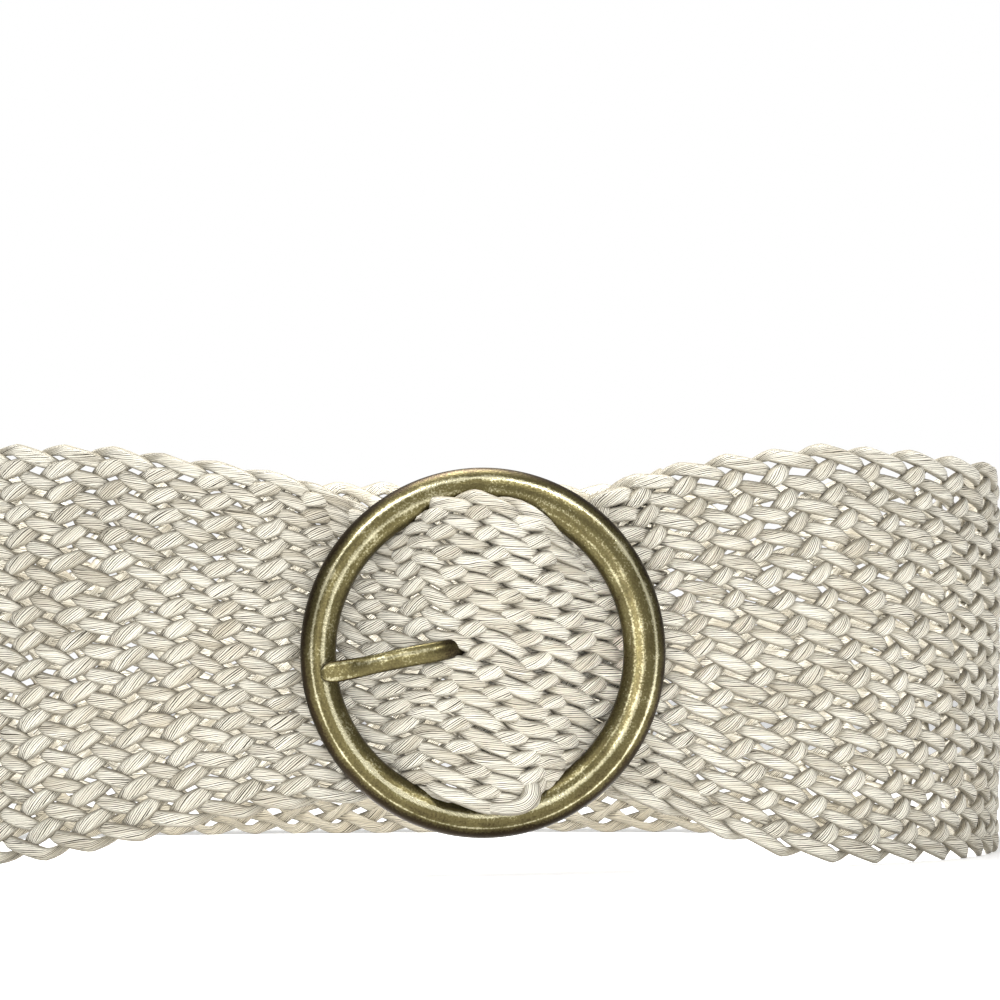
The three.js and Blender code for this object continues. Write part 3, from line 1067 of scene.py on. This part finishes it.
# How bright its brass is coloured: darker towards the outer and inner edges and on the outer half of its
# lower part, partly patina and partly painted shade and dark reflection, and darker on the back. Places
# across its face go from -1 inside to 1 outside.
ringWearAndShade = {
    "most": 0.44, "outerEdge": (0.62, 0.95), "outerDrop": 0.4, "innerEdge": (-0.7, -1), "innerDrop": 0.12,
    "bottomEdge": (-0.1, 0.5), "bottomDrop": 0.22, "backDrop": 0.1,
}

# Painted highlights: bright lines in the ring's colour where lamps would reflect: place across its face, and
# the side of the ring, in degrees up from the right, where each is brightest.
paintedHighlights = [
    {"at": -0.17, "width": 0.1, "brightest": 235, "least": 0.1, "most": 0.55},
    {"at": 0.47, "width": 0.07, "brightest": 40, "least": 0.38, "most": 0.56},
    {"at": -0.55, "width": 0.06, "brightest": 10, "least": 0, "most": 0.2},
]


def ringWearAndLightAt(wornAndLit, turn, angle):
    across = math.cos(angle)
    # Darker edges and lower outer half: partly patina, partly painted shade and dark reflection.
    level = wornAndLit["most"] - wornAndLit["outerDrop"] * ramp(across, *wornAndLit["outerEdge"])
    level -= wornAndLit["innerDrop"] * ramp(across, *wornAndLit["innerEdge"])
    level -= wornAndLit["bottomDrop"] * smooth(-math.sin(turn)) * ramp(across, *wornAndLit["bottomEdge"])
    if math.sin(angle) > 0:
        return level - wornAndLit["backDrop"]
    # Painted highlights along the front of the ring, brightest on the side each one faces.
    for line in paintedHighlights:
        facing = 0.5 + 0.5 * math.cos(turn - math.radians(line["brightest"]))
        level += mix(line["least"], line["most"], facing) * bell(across, line["at"], line["width"])
    return level


def buildRing():
    points, wearAndLight = [], []
    for turn in turnsOf(ring["steps"]):
        inner = ring["holeRadius"] + ring["holeShift"] * math.cos(turn)
        middle, half = (ring["outerRadius"] + inner) / 2, (ring["outerRadius"] - inner) / 2
        for angle in turnsOf(ring["sides"]):
            radius = middle + half * math.cos(angle)
            y = ringDepth / 2 * math.sin(angle)
            points.append((radius * math.cos(turn), y, radius * math.sin(turn)))
            wearAndLight.append(ringWearAndLightAt(ringWearAndShade, turn, angle))
    faces = gridFaces(ring["steps"], ring["sides"], True)
    faces += tubeFaces(2, ring["barSides"], len(points))
    for end in (-1, 1):
        for angle in turnsOf(ring["barSides"]):
            y = strap["barSetBack"] + strap["barRadius"] * math.sin(angle)
            points.append((strap["barRadius"] * math.cos(angle), y, end * ring["barReach"]))
            wearAndLight.append(ring["barWear"])
    brassPiece("buckle_ring", points, faces, wearAndLight, "buckle_frame")


buildRing()
print("ring made")


# The prong

prong = {
    "sides": 28, "stepsPerSpan": 5,
    "eyeInner": 2.3, "eyeOuter": 4.1, "eyeHeight": 4.6, "eyeSteps": 40, "eyeWear": 0.4,
    "tip": (-30, -33),  # where the shank goes over into the flattened tip
    "dish": 0.35,  # depth of the hollow in the tip
}

# Along the prong from its eye to its tip: x, y, z, width and thickness.
prongSections = [
    (-2.7, 1.6, 1.7, 4.2, 2), (-4.6, -1, 1.6, 4.5, 2.6), (-7, -4.2, 1.3, 4.7, 2.8),
    (-9.8, -6.9, 0.9, 4.8, 2.9), (-13.5, -8.1, 0.2, 4.9, 2.9), (-20, -7.8, -1, 4.8, 2.8),
    (-27, -6.7, -2.5, 4.6, 2.6), (-30, -6, -3.2, 4.7, 2.3), (-33.5, -5.2, -3.9, 5, 2),
    (-37.2, -4.75, -4.5, 5.1, 1.8), (-39.2, -4.65, -4.8, 4, 1.6), (-40.1, -4.6, -4.9, 1.8, 1),
]

# How bright it is coloured: painted highlights on a rim round the tip and on a ridge along the shank, where
# they face the front, a dark border round the tip, and darker where it goes into the hole.
prongWearAndLight = {
    "most": 0.42, "rim": 0.36, "rimAt": 0.7, "rimWidth": 0.1, "border": 0.3, "borderEdge": (0.78, 0.9),
    "ridge": 0.25, "ridgeAt": 0.35, "ridgeWidth": 0.16, "holeDrop": 0.3, "holeEdge": (-14, -9),
}


def prongWearAndLightAt(wornAndLit, x, s, front, paddle):
    # The rim and the ridge are painted highlights on the front faces.
    rim = bell(abs(s), wornAndLit["rimAt"], wornAndLit["rimWidth"]) * front * paddle
    ridge = bell(s, wornAndLit["ridgeAt"], wornAndLit["ridgeWidth"]) * front * (1 - paddle)
    border = ramp(abs(s), *wornAndLit["borderEdge"]) * paddle
    level = wornAndLit["most"] + wornAndLit["rim"] * rim + wornAndLit["ridge"] * ridge
    return level - wornAndLit["border"] * border - wornAndLit["holeDrop"] * ramp(x, *wornAndLit["holeEdge"])


def buildProng():
    stations = splined(np.array(prongSections, dtype=float), prong["stepsPerSpan"])
    middle, along, _ = pathOf(stations)
    points, wearAndLight = [], []
    for place, way, (width, thickness) in zip(middle, along, stations[:, 3:]):
        outward = np.cross(way, (0, 0, 1))
        outward /= np.linalg.norm(outward)
        upward = np.cross(outward, way)
        paddle = ramp(place[0], *prong["tip"])
        for angle in turnsOf(prong["sides"]):
            c, s = math.cos(angle), math.sin(angle)
            front = max(0, -c)
            hollow = prong["dish"] * paddle * front * (1 - s * s)
            points.append(place + outward * (c * thickness / 2 + hollow) + upward * s * width / 2)
            wearAndLight.append(prongWearAndLightAt(prongWearAndLight, place[0], s, front, paddle))
    faces = tubeFaces(len(stations), prong["sides"])

    start = len(points)
    low, high = [prongSections[0][2] + side * prong["eyeHeight"] / 2 for side in (-1, 1)]
    inner, outer = prong["eyeInner"], prong["eyeOuter"]
    outline = [(inner, low), (outer, low), (outer, high), (inner, high)]
    for turn in turnsOf(prong["eyeSteps"]):
        for radius, z in outline:
            points.append((radius * math.cos(turn), strap["barSetBack"] + radius * math.sin(turn), z))
            wearAndLight.append(prong["eyeWear"])
    faces += gridFaces(prong["eyeSteps"], len(outline), True, start)
    brassPiece("prong_visual", points, faces, wearAndLight, "prong")


buildProng()
print("prong made")
